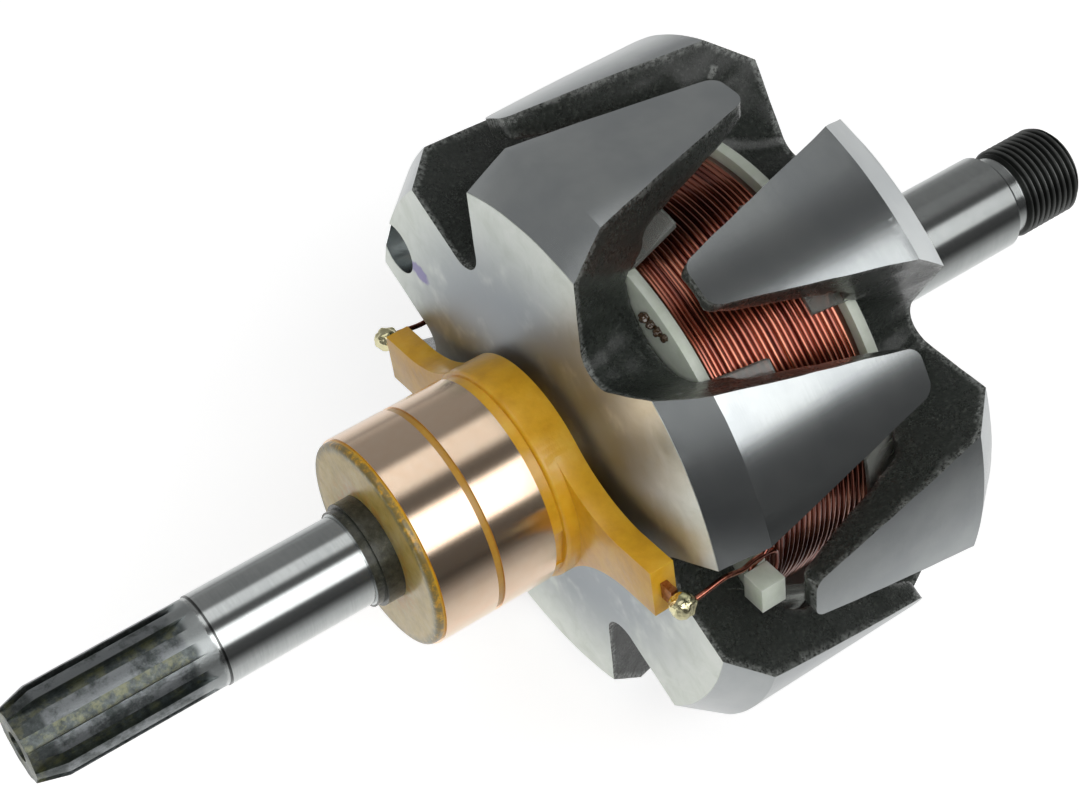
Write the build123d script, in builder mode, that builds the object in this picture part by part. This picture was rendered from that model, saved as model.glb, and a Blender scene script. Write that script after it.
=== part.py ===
"""Claw-pole rotor of a vehicle alternator, with slip rings and a splined shaft end.

Millimetres and degrees. X runs along the shaft from the splined end to the threaded end,
Z is up, and the origin is on the shaft axis at the shoulder of the drive-end bearing seat.
Angles round the shaft are measured from +Y towards +Z.
"""
from math import cos, radians, sin, tan
import os

from build123d import *

os.makedirs("parts", exist_ok=True)

# Shaft diameters and lengths
drive_journal_diameter = 17.0
slip_journal_diameter = 15.0
thread_diameter = 16.0
thread_relief_diameter = 14.2
shoulder_diameter = 24.0
spline_diameter = 14.6
spline_root_diameter = 11.4
drive_journal_length = 34.0
thread_relief_length = 2.2
thread_length = 12.0
spline_length = 31.0
slip_journal_length = 25.2
shoulder_length = 8.0
spline_teeth = 10
spline_tooth_share = 0.52
spline_runout = 5.0
spline_chamfer_length = 4.6
spline_chamfer_depth = 1.3
thread_chamfer = 1.2
journal_chamfer = 0.9
centre_hole_diameter = 5.0
centre_hole_depth = 5.0

# Claw poles
pole_diameter = 102.0
poles_per_claw = 6
stack_length = 51.7
plate_thickness = 11.4
rim_chamfer_axial = 6.4
rim_chamfer_radial = 5.3
claw_length = 39.0
lobe_half_width = 13.6
tip_half_width = 3.6
valley_radius = 31.4
tip_thickness = 3.8
root_thickness = 8.4
root_fillet = 3.8
tip_corner_radius = 2.4
first_pole_angle = 20.0
balance_hole_diameter = 9.0
balance_hole_depth = 6.0
balance_hole_radius = 42.6
balance_hole_offset = -7.5

# Pole core, bobbin and winding
core_diameter = 54.0
bobbin_wall = 1.4
bobbin_gap = 0.3
flange_clearance = 0.8
flange_thickness = 1.8
winding_inset = 1.2
winding_gap = 0.1
petal_thickness = 0.9
petal_length = 9.6
petal_width = 19.4
petal_rise = 4.2
post_width = 6.0
post_length = 5.6
post_height = 5.4
post_neck_width = 3.4
post_neck_height = 2.4
post_overhang = 3.6
post_root = 3.0
post_angle = 169.5

# Slip rings and their moulding
ring_diameter = 35.4
ring_wall = 2.4
ring_width = 9.4
ring_spacing = 1.2
front_land = 1.4
land_inset = 0.35
land_fillet = 0.8
bush_seat_diameter = 15.6
bush_diameter = 17.4
bush_reach = 4.4
bush_lip_width = 1.4
bush_lip_inset = 0.6
step_width = 1.9
step_inset = 0.5
collar_diameter = 36.2
collar_width = 6.6
collar_gap = 1.9
hub_diameter = 26.0
arm_angle = 166.5
arm_reach = 36.6
arm_width = 8.8
arm_thickness = 4.2
arm_flare_angle = 42.0
arm_flare_bow = 1.7
arm_neck_length = 8.0
arm_corner_radius = 1.3
collar_fillet = 0.7
key_width = 8.0
key_depth = 0.8
key_offset = 11.5

# Terminals, solder and leads
tab_width = 3.0
tab_thickness = 1.2
tab_reach = 2.6
solder_radius = 2.1
lead_diameter = 0.9
lead_lift = 0.6

# Stations along the shaft, worked out from the lengths above
rear_face_x = -shoulder_length
front_face_x = rear_face_x - stack_length
collar_rear_x = front_face_x - collar_gap
collar_front_x = collar_rear_x - collar_width
rear_ring_end_x = collar_front_x - step_width
rear_ring_start_x = rear_ring_end_x - ring_width
front_ring_end_x = rear_ring_start_x - ring_spacing
front_ring_start_x = front_ring_end_x - ring_width
moulding_front_x = front_ring_start_x - front_land
bush_front_x = moulding_front_x - bush_reach
spline_start_x = bush_front_x - slip_journal_length
shaft_start_x = spline_start_x - spline_length
relief_x = drive_journal_length
thread_start_x = relief_x + thread_relief_length
shaft_end_x = thread_start_x + thread_length
front_inner_x = front_face_x + plate_thickness
rear_inner_x = rear_face_x - plate_thickness

pole_radius = pole_diameter / 2
pole_pitch = 360 / poles_per_claw
side_slope = (lobe_half_width - tip_half_width) / claw_length
shaft_plane = Plane(origin=(0, 0, 0), x_dir=(1, 0, 0), z_dir=(0, 0, 1))


def cross_plane(x, angle=0.0):
    """Plane square to the shaft at x, with its own x axis turned to an angle round the shaft."""
    turned = (0, cos(radians(angle)), sin(radians(angle)))
    return Plane(origin=(x, 0, 0), x_dir=turned, z_dir=(1, 0, 0))


def side_plane(angle):
    """Plane through the shaft, with the shaft as x and the direction at an angle as y."""
    outward = (0, cos(radians(angle)), sin(radians(angle)))
    return Plane(origin=(0, 0, 0), x_dir=(1, 0, 0), z_dir=Vector(1, 0, 0).cross(Vector(*outward)))


def valley_section(half_width, depth_x, direction, x_face):
    """Rounded V between two lobes, at one depth into the plate."""
    half_pitch = radians(pole_pitch / 2)
    apex = half_width / sin(half_pitch)
    rounding = (valley_radius - apex) / (1 / sin(half_pitch) - 1)
    centre = apex + rounding / sin(half_pitch)
    touch = rounding * cos(half_pitch)
    touch_x = centre - rounding * sin(half_pitch)
    outer = pole_radius * 1.3
    outer_half = (outer - apex) * tan(half_pitch)
    plane = cross_plane(x_face + direction * depth_x, 0)
    with BuildSketch(plane) as section:
        with BuildLine():
            Line((touch_x, touch), (outer, outer_half))
            Line((outer, outer_half), (outer, -outer_half))
            Line((outer, -outer_half), (touch_x, -touch))
            ThreePointArc((touch_x, -touch), (centre - rounding, 0), (touch_x, touch))
        make_face()
    return section.sketch


def finger_plan(x_face, direction, angle):
    """Outline of one finger seen along a radius, from the plate to its rounded tip."""
    outward = (0, cos(radians(angle)), sin(radians(angle)))
    plane = Plane(origin=Vector(*outward) * core_diameter / 2, x_dir=(1, 0, 0), z_dir=outward)
    root_half = lobe_half_width - side_slope * plate_thickness
    root_x = x_face + direction * plate_thickness
    tip_x = x_face + direction * claw_length
    with BuildSketch(plane) as plan:
        with BuildLine():
            Polyline(
                (root_x, root_half),
                (tip_x, tip_half_width),
                (tip_x, -tip_half_width),
                (root_x, -root_half),
                close=True,
            )
        make_face()
        tips = plan.vertices().group_by(Axis.X)[-1 if direction > 0 else 0]
        fillet(tips, tip_corner_radius)
    return plan.sketch


def claw_pole(x_face, direction, first_angle, bore_diameter):
    """One forging: a plate with lobes, and a tapering finger from each lobe along the shaft."""
    root_x = plate_thickness + root_fillet
    root_radius = pole_radius - root_thickness
    angles = [first_angle + number * pole_pitch for number in range(poles_per_claw)]

    def at(depth, radius):
        return (x_face + direction * depth, radius)

    with BuildPart() as fingers:
        for angle in angles:
            extrude(finger_plan(x_face, direction, angle), amount=pole_radius)
        with BuildSketch(shaft_plane):
            with BuildLine():
                Polyline(
                    at(plate_thickness, root_radius - root_fillet),
                    at(plate_thickness, pole_radius),
                    at(claw_length, pole_radius),
                    at(claw_length, pole_radius - tip_thickness),
                    at(root_x, root_radius),
                )
                RadiusArc(
                    at(root_x, root_radius),
                    at(plate_thickness, root_radius - root_fillet),
                    root_fillet * direction,
                )
            make_face()
        revolve(axis=Axis.X, mode=Mode.INTERSECT)

    with BuildPart() as claw:
        with BuildSketch(shaft_plane):
            with BuildLine():
                Polyline(
                    at(0, bore_diameter / 2),
                    at(0, pole_radius - rim_chamfer_radial),
                    at(rim_chamfer_axial, pole_radius),
                    at(plate_thickness, pole_radius),
                    at(plate_thickness, bore_diameter / 2),
                    close=True,
                )
            make_face()
        revolve(axis=Axis.X)
        near = valley_section(lobe_half_width, 0, direction, x_face)
        far_width = lobe_half_width - side_slope * plate_thickness
        far = valley_section(far_width, plate_thickness, direction, x_face)
        valley = loft([near, far], ruled=True, mode=Mode.PRIVATE)
        for angle in angles:
            add(valley.rotate(Axis.X, angle + pole_pitch / 2), mode=Mode.SUBTRACT)
        add(fingers.part)
    return claw


# Shaft with splines, bearing seats and threaded end
with BuildPart() as shaft:
    with BuildSketch(shaft_plane):
        with BuildLine():
            Polyline(
                (shaft_start_x, 0),
                (shaft_start_x, spline_diameter / 2 - spline_chamfer_depth),
                (shaft_start_x + spline_chamfer_length, spline_diameter / 2),
                (spline_start_x, spline_diameter / 2),
                (spline_start_x, slip_journal_diameter / 2),
                (bush_front_x, slip_journal_diameter / 2),
                (bush_front_x, bush_seat_diameter / 2),
                (front_face_x, bush_seat_diameter / 2),
                (front_face_x, drive_journal_diameter / 2),
                (rear_face_x, drive_journal_diameter / 2),
                (rear_face_x, shoulder_diameter / 2),
                (0, shoulder_diameter / 2),
                (0, drive_journal_diameter / 2),
                (relief_x - journal_chamfer, drive_journal_diameter / 2),
                (relief_x, drive_journal_diameter / 2 - journal_chamfer),
                (relief_x, thread_relief_diameter / 2),
                (thread_start_x, thread_relief_diameter / 2),
                (thread_start_x, thread_diameter / 2),
                (shaft_end_x - thread_chamfer, thread_diameter / 2),
                (shaft_end_x, thread_diameter / 2 - thread_chamfer),
                (shaft_end_x, 0),
                close=True,
            )
        make_face()
    revolve(axis=Axis.X)
    for end_x, inward in ((shaft_start_x, 1), (shaft_end_x, -1)):
        with BuildSketch(cross_plane(end_x)):
            Circle(centre_hole_diameter / 2)
        extrude(amount=inward * centre_hole_depth, mode=Mode.SUBTRACT)
    tooth_pitch = 360 / spline_teeth
    groove_half = radians(tooth_pitch * (1 - spline_tooth_share) / 2)
    groove_root = spline_root_diameter / 2
    groove_top = spline_diameter / 2 * 1.2
    with BuildSketch(side_plane(0)) as groove_side:
        with BuildLine():
            Polyline(
                (shaft_start_x - 1, groove_root),
                (spline_start_x - spline_runout, groove_root),
                (spline_start_x + spline_runout * 0.3, groove_top),
                (shaft_start_x - 1, groove_top),
                close=True,
            )
        make_face()
    groove_width = 2 * spline_diameter / 2 * sin(groove_half)
    groove = extrude(groove_side.sketch, amount=groove_width / 2, both=True, mode=Mode.PRIVATE)
    for number in range(spline_teeth):
        turn = (number + 0.5) * tooth_pitch
        add(groove.rotate(Axis.X, turn), mode=Mode.SUBTRACT)
shaft.part.label = "shaft"

# Claw poles, the rear one turned by half a pole pitch
front_claw_pole = claw_pole(front_face_x, 1, first_pole_angle, drive_journal_diameter)
with BuildPart() as front_claw:
    add(front_claw_pole.part)
    hole_angle = first_pole_angle + balance_hole_offset
    with BuildSketch(cross_plane(front_face_x, hole_angle)):
        with Locations((balance_hole_radius, 0)):
            Circle(balance_hole_diameter / 2)
    extrude(amount=balance_hole_depth, mode=Mode.SUBTRACT)
front_claw.part.label = "front_claw_pole"
rear_claw = claw_pole(rear_face_x, -1, first_pole_angle + pole_pitch / 2, drive_journal_diameter)
rear_claw.part.label = "rear_claw_pole"

# Pole core between the two plates
with BuildPart() as pole_core:
    with BuildSketch(cross_plane(front_inner_x)):
        Circle(core_diameter / 2)
        Circle(drive_journal_diameter / 2, mode=Mode.SUBTRACT)
    extrude(amount=rear_inner_x - front_inner_x)
pole_core.part.label = "pole_core"

# Bobbin: tube, two flanges, petals under the fingers and two winding posts
tube_inner = core_diameter / 2 + bobbin_gap
tube_outer = tube_inner + bobbin_wall
flange_radius = pole_radius - root_thickness - root_fillet - flange_clearance


def petal_ring(x_start, direction, first_angle):
    """Thin petals that rise from a flange, one under each finger."""
    x_end = x_start + direction * petal_length
    inner = flange_radius - petal_thickness
    with BuildPart() as ring:
        for number in range(poles_per_claw):
            angle = radians(first_angle + number * pole_pitch)
            outward = Vector(0, cos(angle), sin(angle))
            foot = Vector(x_start + direction * petal_length / 2, 0, 0) + outward * tube_outer
            with BuildSketch(Plane(origin=foot, x_dir=(1, 0, 0), z_dir=outward)):
                Rectangle(petal_length, petal_width)
            extrude(amount=pole_radius - tube_outer)
        with BuildSketch(shaft_plane):
            with BuildLine():
                Polyline(
                    (x_start, inner),
                    (x_end, inner + petal_rise),
                    (x_end, inner + petal_rise + petal_thickness),
                    (x_start, flange_radius),
                    close=True,
                )
            make_face()
        revolve(axis=Axis.X, mode=Mode.INTERSECT)
    return ring


def post_block(x_from, x_to, low, high, width, angle):
    """Block on a flange rim, between two stations and two radii."""
    with BuildPart() as block:
        with BuildSketch(cross_plane(x_from, angle)):
            with Locations(((low + high) / 2, 0)):
                Rectangle(high - low, width)
        extrude(amount=x_to - x_from)
    return block


with BuildPart() as bobbin:
    with BuildSketch(shaft_plane):
        with BuildLine():
            Polyline(
                (front_inner_x, tube_inner),
                (front_inner_x, flange_radius),
                (front_inner_x + flange_thickness, flange_radius),
                (front_inner_x + flange_thickness, tube_outer),
                (rear_inner_x - flange_thickness, tube_outer),
                (rear_inner_x - flange_thickness, flange_radius),
                (rear_inner_x, flange_radius),
                (rear_inner_x, tube_inner),
                close=True,
            )
        make_face()
    revolve(axis=Axis.X)
    add(petal_ring(front_inner_x, 1, first_pole_angle).part)
    add(petal_ring(rear_inner_x, -1, first_pole_angle + pole_pitch / 2).part)
    for angle in (post_angle, post_angle - 180):
        neck_top = flange_radius + post_neck_height
        x_from = front_inner_x - post_overhang
        x_to = x_from + post_length
        neck_x = front_inner_x + flange_thickness
        root = flange_radius - post_root
        add(post_block(front_inner_x, neck_x, root, neck_top, post_neck_width, angle).part)
        add(post_block(x_from, x_to, neck_top, neck_top + post_height, post_width, angle).part)
bobbin.part.label = "bobbin"

# Field winding between the flanges
with BuildPart() as field_winding:
    winding_start_x = front_inner_x + flange_thickness + winding_gap
    with BuildSketch(cross_plane(winding_start_x)):
        Circle(flange_radius - winding_inset)
        Circle(tube_outer + winding_gap, mode=Mode.SUBTRACT)
    winding_end_x = rear_inner_x - flange_thickness - winding_gap
    extrude(amount=winding_end_x - winding_start_x)
field_winding.part.label = "field_winding"

# Bush that carries the slip-ring moulding, with its lip in front of the moulding
with BuildPart() as slip_ring_bush:
    with BuildSketch(shaft_plane):
        with BuildLine():
            Polyline(
                (bush_front_x, bush_seat_diameter / 2),
                (bush_front_x, bush_diameter / 2 - bush_lip_inset),
                (bush_front_x + bush_lip_width, bush_diameter / 2 - bush_lip_inset),
                (bush_front_x + bush_lip_width, bush_diameter / 2),
                (front_face_x, bush_diameter / 2),
                (front_face_x, bush_seat_diameter / 2),
                close=True,
            )
        make_face()
    revolve(axis=Axis.X)
slip_ring_bush.part.label = "slip_ring_bush"

# Slip-ring moulding: ring seats, groove, collar and two arms
ring_radius = ring_diameter / 2
seat_radius = ring_radius - ring_wall
land_radius = ring_radius - land_inset
step_radius = ring_radius - step_inset
collar_radius = collar_diameter / 2


def moulding_arms():
    """Two arms that flare out of the collar towards the winding ends."""
    half = arm_width / 2
    foot = collar_radius * cos(radians(arm_flare_angle))
    foot_half = collar_radius * sin(radians(arm_flare_angle))
    neck = arm_reach - arm_neck_length
    slant = radians(90) - radians(arm_flare_angle) / 2
    bow = (foot + neck) / 2 - arm_flare_bow * cos(slant)
    bow_half = (foot_half + half) / 2 - arm_flare_bow * sin(slant)
    with BuildPart() as arms:
        for angle in (arm_angle, arm_angle - 180):
            with BuildSketch(cross_plane(collar_rear_x - arm_thickness, angle)) as arm:
                with BuildLine():
                    Line((0, foot_half), (foot, foot_half))
                    ThreePointArc((foot, foot_half), (bow, bow_half), (neck, half))
                    Polyline((neck, half), (arm_reach, half), (arm_reach, -half), (neck, -half))
                    ThreePointArc((neck, -half), (bow, -bow_half), (foot, -foot_half))
                    Line((foot, -foot_half), (0, -foot_half))
                    Line((0, -foot_half), (0, foot_half))
                make_face()
                outward = Vector(0, cos(radians(angle)), sin(radians(angle)))
                corners = arm.vertices().sort_by(lambda v: Vector(*v).dot(outward))[-2:]
                fillet(corners, arm_corner_radius)
            extrude(amount=arm_thickness)
    return arms


with BuildPart() as slip_ring_moulding:
    with BuildSketch(shaft_plane):
        with BuildLine():
            Polyline(
                (moulding_front_x, bush_diameter / 2),
                (moulding_front_x, land_radius),
                (front_ring_start_x, land_radius),
                (front_ring_start_x, seat_radius),
                (front_ring_end_x, seat_radius),
                (front_ring_end_x, land_radius),
                (rear_ring_start_x, land_radius),
                (rear_ring_start_x, seat_radius),
                (rear_ring_end_x, seat_radius),
                (rear_ring_end_x, step_radius),
                (collar_front_x, step_radius),
                (collar_front_x, collar_radius),
                (collar_rear_x, collar_radius),
                (collar_rear_x, hub_diameter / 2),
                (front_face_x, hub_diameter / 2),
                (front_face_x, bush_diameter / 2),
                close=True,
            )
        make_face()
    revolve(axis=Axis.X)
    front_rim = slip_ring_moulding.edges().filter_by(GeomType.CIRCLE).group_by(Axis.X)[0]
    fillet(front_rim.sort_by(SortBy.RADIUS)[-1], land_fillet)
    circles = slip_ring_moulding.edges().filter_by(GeomType.CIRCLE)
    shoulder = circles.filter_by_position(Axis.X, collar_front_x - 0.01, collar_front_x + 0.01)
    fillet(shoulder.sort_by(SortBy.RADIUS)[-1], collar_fillet)
    add(moulding_arms().part)
    with BuildSketch(cross_plane(moulding_front_x)):
        Circle(bush_diameter / 2)
    extrude(amount=front_face_x - moulding_front_x, mode=Mode.SUBTRACT)
    with BuildSketch(cross_plane(rear_ring_end_x, arm_angle + key_offset)):
        with Locations((collar_radius, 0)):
            Rectangle(2 * (collar_radius - step_radius + key_depth), key_width)
    extrude(amount=step_width, mode=Mode.SUBTRACT)
slip_ring_moulding.part.label = "slip_ring_moulding"


def slip_ring(x_start):
    """Plain copper band seated between two lands."""
    with BuildPart() as ring:
        with BuildSketch(cross_plane(x_start)):
            Circle(ring_radius)
            Circle(seat_radius, mode=Mode.SUBTRACT)
        extrude(amount=ring_width)
    return ring


front_slip_ring = slip_ring(front_ring_start_x)
front_slip_ring.part.label = "front_slip_ring"
rear_slip_ring = slip_ring(rear_ring_start_x)
rear_slip_ring.part.label = "rear_slip_ring"

# Terminal tabs, solder joints and winding leads, one set on each arm
tab_x = collar_rear_x - arm_thickness / 2
solder_reach = arm_reach + tab_reach


def terminal_tab(angle):
    """Flat copper end of a ring conductor, standing out of the arm."""
    with BuildPart() as tab:
        with BuildSketch(cross_plane(tab_x - tab_thickness / 2, angle)):
            with Locations((arm_reach + tab_reach / 2, 0)):
                Rectangle(tab_reach, tab_width)
        extrude(amount=tab_thickness)
    return tab


def solder_joint(angle):
    """Rounded bead of solder on the end of a tab."""
    outward = Vector(0, cos(radians(angle)), sin(radians(angle)))
    with BuildPart() as joint:
        with Locations(Vector(tab_x, 0, 0) + outward * (solder_reach + solder_radius * 0.9)):
            Sphere(solder_radius)
        with BuildSketch(cross_plane(tab_x - solder_radius, angle)):
            with Locations((solder_reach / 2, 0)):
                Rectangle(solder_reach, solder_radius * 4)
        extrude(amount=solder_radius * 2, mode=Mode.SUBTRACT)
    return joint


def winding_lead(angle, post):
    """Enamelled wire from the solder joint to the neck of the winding post."""
    start_reach = solder_reach + solder_radius
    start_x = tab_x + solder_radius
    end_reach = flange_radius + post_neck_height / 2
    half_neck = post_neck_width / 2 + lead_diameter / 2 + lead_lift

    def place(x, reach, side):
        out = Vector(0, cos(radians(angle)), sin(radians(angle)))
        across = Vector(0, -sin(radians(angle)), cos(radians(angle)))
        return Vector(x, 0, 0) + out * reach + across * side

    swing = end_reach * sin(radians(post - angle)) - half_neck
    head_x = front_inner_x - post_overhang
    route = [
        place(start_x, start_reach, 0),
        place(start_x + (head_x - start_x) * 0.45, start_reach + lead_lift / 2, swing * 0.3),
        place(head_x - lead_diameter, end_reach + lead_lift / 2, swing * 0.9),
        place(front_inner_x + lead_diameter, end_reach, swing),
    ]
    with BuildPart() as lead:
        with BuildLine() as path:
            FilletPolyline(*route, radius=lead_diameter * 3)
        with BuildSketch(Plane(origin=path.line @ 0, z_dir=path.line % 0)):
            Circle(lead_diameter / 2)
        sweep()
    return lead


terminal_tabs = {}
for number, angle in enumerate((arm_angle, arm_angle - 180), start=1):
    tab = terminal_tab(angle)
    tab.part.label = f"terminal_tab_{number}"
    joint = solder_joint(angle)
    joint.part.label = f"solder_joint_{number}"
    lead = winding_lead(angle, post_angle - 180 * (number - 1))
    lead.part.label = f"winding_lead_{number}"
    for piece in (tab, joint, lead):
        terminal_tabs[piece.part.label] = piece

pieces = [
    shaft,
    front_claw,
    rear_claw,
    pole_core,
    bobbin,
    field_winding,
    slip_ring_bush,
    slip_ring_moulding,
    front_slip_ring,
    rear_slip_ring,
]
for piece in pieces + list(terminal_tabs.values()):
    export_step(piece.part, f"parts/{piece.part.label}.step")
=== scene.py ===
"""Looks of the claw-pole rotor: camera, studio, materials and the modelled surface detail.

Metres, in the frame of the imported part: X along the shaft towards the thread, Z up.
"""
import math
import random

import bmesh
import bpy
import numpy as np
from mathutils import Matrix, Vector, noise


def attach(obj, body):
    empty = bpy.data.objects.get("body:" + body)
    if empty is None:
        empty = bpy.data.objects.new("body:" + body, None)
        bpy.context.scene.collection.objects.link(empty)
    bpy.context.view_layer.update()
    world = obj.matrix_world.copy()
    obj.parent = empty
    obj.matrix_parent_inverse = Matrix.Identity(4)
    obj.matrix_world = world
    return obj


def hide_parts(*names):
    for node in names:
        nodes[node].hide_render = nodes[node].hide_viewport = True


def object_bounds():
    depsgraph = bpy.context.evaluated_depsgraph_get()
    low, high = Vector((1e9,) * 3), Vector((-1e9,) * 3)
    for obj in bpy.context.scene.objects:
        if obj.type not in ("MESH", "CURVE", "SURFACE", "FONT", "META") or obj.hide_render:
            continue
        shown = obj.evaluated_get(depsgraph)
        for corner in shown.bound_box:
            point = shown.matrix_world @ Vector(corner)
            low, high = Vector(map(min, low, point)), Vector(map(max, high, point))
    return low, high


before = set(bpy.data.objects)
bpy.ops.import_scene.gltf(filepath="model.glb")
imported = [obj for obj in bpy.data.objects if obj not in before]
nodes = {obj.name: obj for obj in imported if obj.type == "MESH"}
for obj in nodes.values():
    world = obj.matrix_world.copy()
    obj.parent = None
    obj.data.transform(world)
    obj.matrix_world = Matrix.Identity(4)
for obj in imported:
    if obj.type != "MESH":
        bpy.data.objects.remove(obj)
cad_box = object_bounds()
MM = 0.001

# Stations of the part, in millimetres
POLE_R = 51.0
FRONT_X = -59.7
REAR_X = -8.0
CHAMFER_X = 6.4
CHAMFER_R = 5.3
HUB_R = 26.5
VALLEY_R = 27.0
PLATE_X = 11.0
HOLE_REACH = 42.6
HOLE_DEPTH = 6.3
HOLE_EDGE = 4.9
SPLINE_START = -121.1
SPLINE_ROOT_R = 6.5
SPLINE_CREST_R = 7.0
DRIVE_SEAT_X = -5.0
THREAD_X = 36.2
THREAD_END = 48.2
MOULDING_X = -91.2
FLANGE_R = 38.02
COIL_X = (-46.3, -21.4)
ARM_ANGLE = 166.5
POST_ANGLE = 169.5
HOLE_ANGLE = 12.5
TAB_X = -63.7
BEAD_REACH = 41.1

# How the pieces are made, in millimetres
LONGEST_EDGE = 1.42
SURFACE_BAND = 0.15
POST_SIDE = 2.4

# Without a seed the offsets of noise_vector come from the clock
NOISE_SEED = 11
noise.seed_set(NOISE_SEED)


# Camera
def make_camera():
    forward = Vector((0.36347, 0.49022, -0.79219)).normalized()
    right = Vector((0.81477, -0.57959, 0.01518))
    right = (right - forward * right.dot(forward)).normalized()
    up = right.cross(forward)
    data = bpy.data.cameras.new("camera")
    data.sensor_width = 36.0
    data.lens = 77.78
    data.shift_x = -0.00575
    data.shift_y = 0.00839
    data.clip_start = 0.01
    data.clip_end = 20.0
    obj = bpy.data.objects.new("camera", data)
    rows = Matrix((right, up, -forward)).transposed()
    obj.matrix_world = Matrix.Translation(Vector((-0.19018, -0.17614, 0.29396))) @ rows.to_4x4()
    bpy.context.scene.collection.objects.link(obj)
    bpy.context.scene.camera = obj


make_camera()
bpy.context.scene.view_settings.view_transform = "Standard"


# Node helpers
class Net:
    """Short names for the shader nodes used below. Coordinates are in millimetres."""

    def __init__(self, tree):
        self.tree = tree
        self.links = tree.links

    def node(self, kind, **settings):
        made = self.tree.nodes.new(kind)
        for key, value in settings.items():
            setattr(made, key, value)
        return made

    def put(self, socket, value):
        if isinstance(value, bpy.types.NodeSocket):
            self.links.new(value, socket)
        elif value is not None:
            socket.default_value = value

    def math(self, operation, a, b=None, c=None, clamp=False):
        made = self.node("ShaderNodeMath", operation=operation, use_clamp=clamp)
        for socket, value in zip(made.inputs, (a, b, c)):
            self.put(socket, value)
        return made.outputs[0]

    def place(self):
        """Position in millimetres, and its three parts."""
        coord = self.node("ShaderNodeTexCoord")
        scale = self.node("ShaderNodeVectorMath", operation="SCALE")
        self.links.new(coord.outputs["Object"], scale.inputs[0])
        scale.inputs["Scale"].default_value = 1000.0
        parts = self.node("ShaderNodeSeparateXYZ")
        self.links.new(scale.outputs[0], parts.inputs[0])
        return scale.outputs[0], parts.outputs[0], parts.outputs[1], parts.outputs[2]

    def stretch(self, vector, sx, sy, sz):
        made = self.node("ShaderNodeVectorMath", operation="MULTIPLY")
        self.links.new(vector, made.inputs[0])
        made.inputs[1].default_value = (sx, sy, sz)
        return made.outputs[0]

    def combine(self, x, y, z):
        made = self.node("ShaderNodeCombineXYZ")
        for socket, value in zip(made.inputs, (x, y, z)):
            self.put(socket, value)
        return made.outputs[0]

    def noise(self, vector, scale, detail=4.0, rough=0.55, distort=0.0):
        made = self.node("ShaderNodeTexNoise")
        self.links.new(vector, made.inputs["Vector"])
        made.inputs["Scale"].default_value = scale
        made.inputs["Detail"].default_value = detail
        made.inputs["Roughness"].default_value = rough
        made.inputs["Distortion"].default_value = distort
        return made.outputs["Fac"]

    def span(self, value, low, high, out_low=0.0, out_high=1.0, smooth=True):
        made = self.node("ShaderNodeMapRange")
        made.interpolation_type = "SMOOTHSTEP" if smooth else "LINEAR"
        self.put(made.inputs["Value"], value)
        made.inputs["From Min"].default_value = low
        made.inputs["From Max"].default_value = high
        made.inputs["To Min"].default_value = out_low
        made.inputs["To Max"].default_value = out_high
        return made.outputs["Result"]

    def ramp(self, value, *stops):
        made = self.node("ShaderNodeValToRGB")
        self.put(made.inputs["Fac"], value)
        elements = made.color_ramp.elements
        while len(elements) < len(stops):
            elements.new(0.5)
        for element, (position, colour) in zip(elements, stops):
            element.position = position
            element.color = (*colour, 1.0) if len(colour) == 3 else colour
        return made.outputs["Color"]

    def mix(self, factor, a, b, blend="MIX"):
        made = self.node("ShaderNodeMix", data_type="RGBA", blend_type=blend)
        self.put(made.inputs["Factor"], factor)
        for name, value in (("A", a), ("B", b)):
            socket = [s for s in made.inputs if s.name == name and s.type == "RGBA"][0]
            if isinstance(value, tuple):
                value = (*value, 1.0)
            self.put(socket, value)
        return [s for s in made.outputs if s.type == "RGBA"][0]

    def blend(self, factor, a, b):
        """Number between a and b."""
        made = self.node("ShaderNodeMix", data_type="FLOAT")
        self.put(made.inputs["Factor"], factor)
        for name, value in (("A", a), ("B", b)):
            socket = [s for s in made.inputs if s.name == name and s.type == "VALUE"][0]
            self.put(socket, value)
        return [s for s in made.outputs if s.type == "VALUE"][0]

    def bump(self, height, depth_mm, strength=1.0, below=None):
        made = self.node("ShaderNodeBump")
        made.inputs["Strength"].default_value = strength
        made.inputs["Distance"].default_value = depth_mm * MM
        self.links.new(height, made.inputs["Height"])
        if below is not None:
            self.links.new(below, made.inputs["Normal"])
        return made.outputs["Normal"]


def material(name, **fixed):
    """A new principled material, with its fixed sockets set, its net and its shader."""
    made = bpy.data.materials.new(name)
    made.use_nodes = True
    net = Net(made.node_tree)
    shader = made.node_tree.nodes["Principled BSDF"]
    for key, value in fixed.items():
        socket = shader.inputs[key.replace("_", " ")]
        socket.default_value = value
    return made, net, shader


def turned_lines(net, shader, amount):
    """Lathe lines round the shaft: reflections blur along the shaft and stay sharp round it."""
    tangent = net.node("ShaderNodeTangent", direction_type="RADIAL", axis="X")
    net.links.new(tangent.outputs[0], shader.inputs["Tangent"])
    shader.inputs["Anisotropic"].default_value = amount
    shader.inputs["Anisotropic Rotation"].default_value = 0.25


def dress(obj, made):
    obj.data.materials.clear()
    obj.data.materials.append(made)


def radial(net, y, z):
    """Distance from the shaft axis in millimetres."""
    return net.math("SQRT", net.math("ADD", net.math("MULTIPLY", y, y), net.math("MULTIPLY", z, z)))


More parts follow.
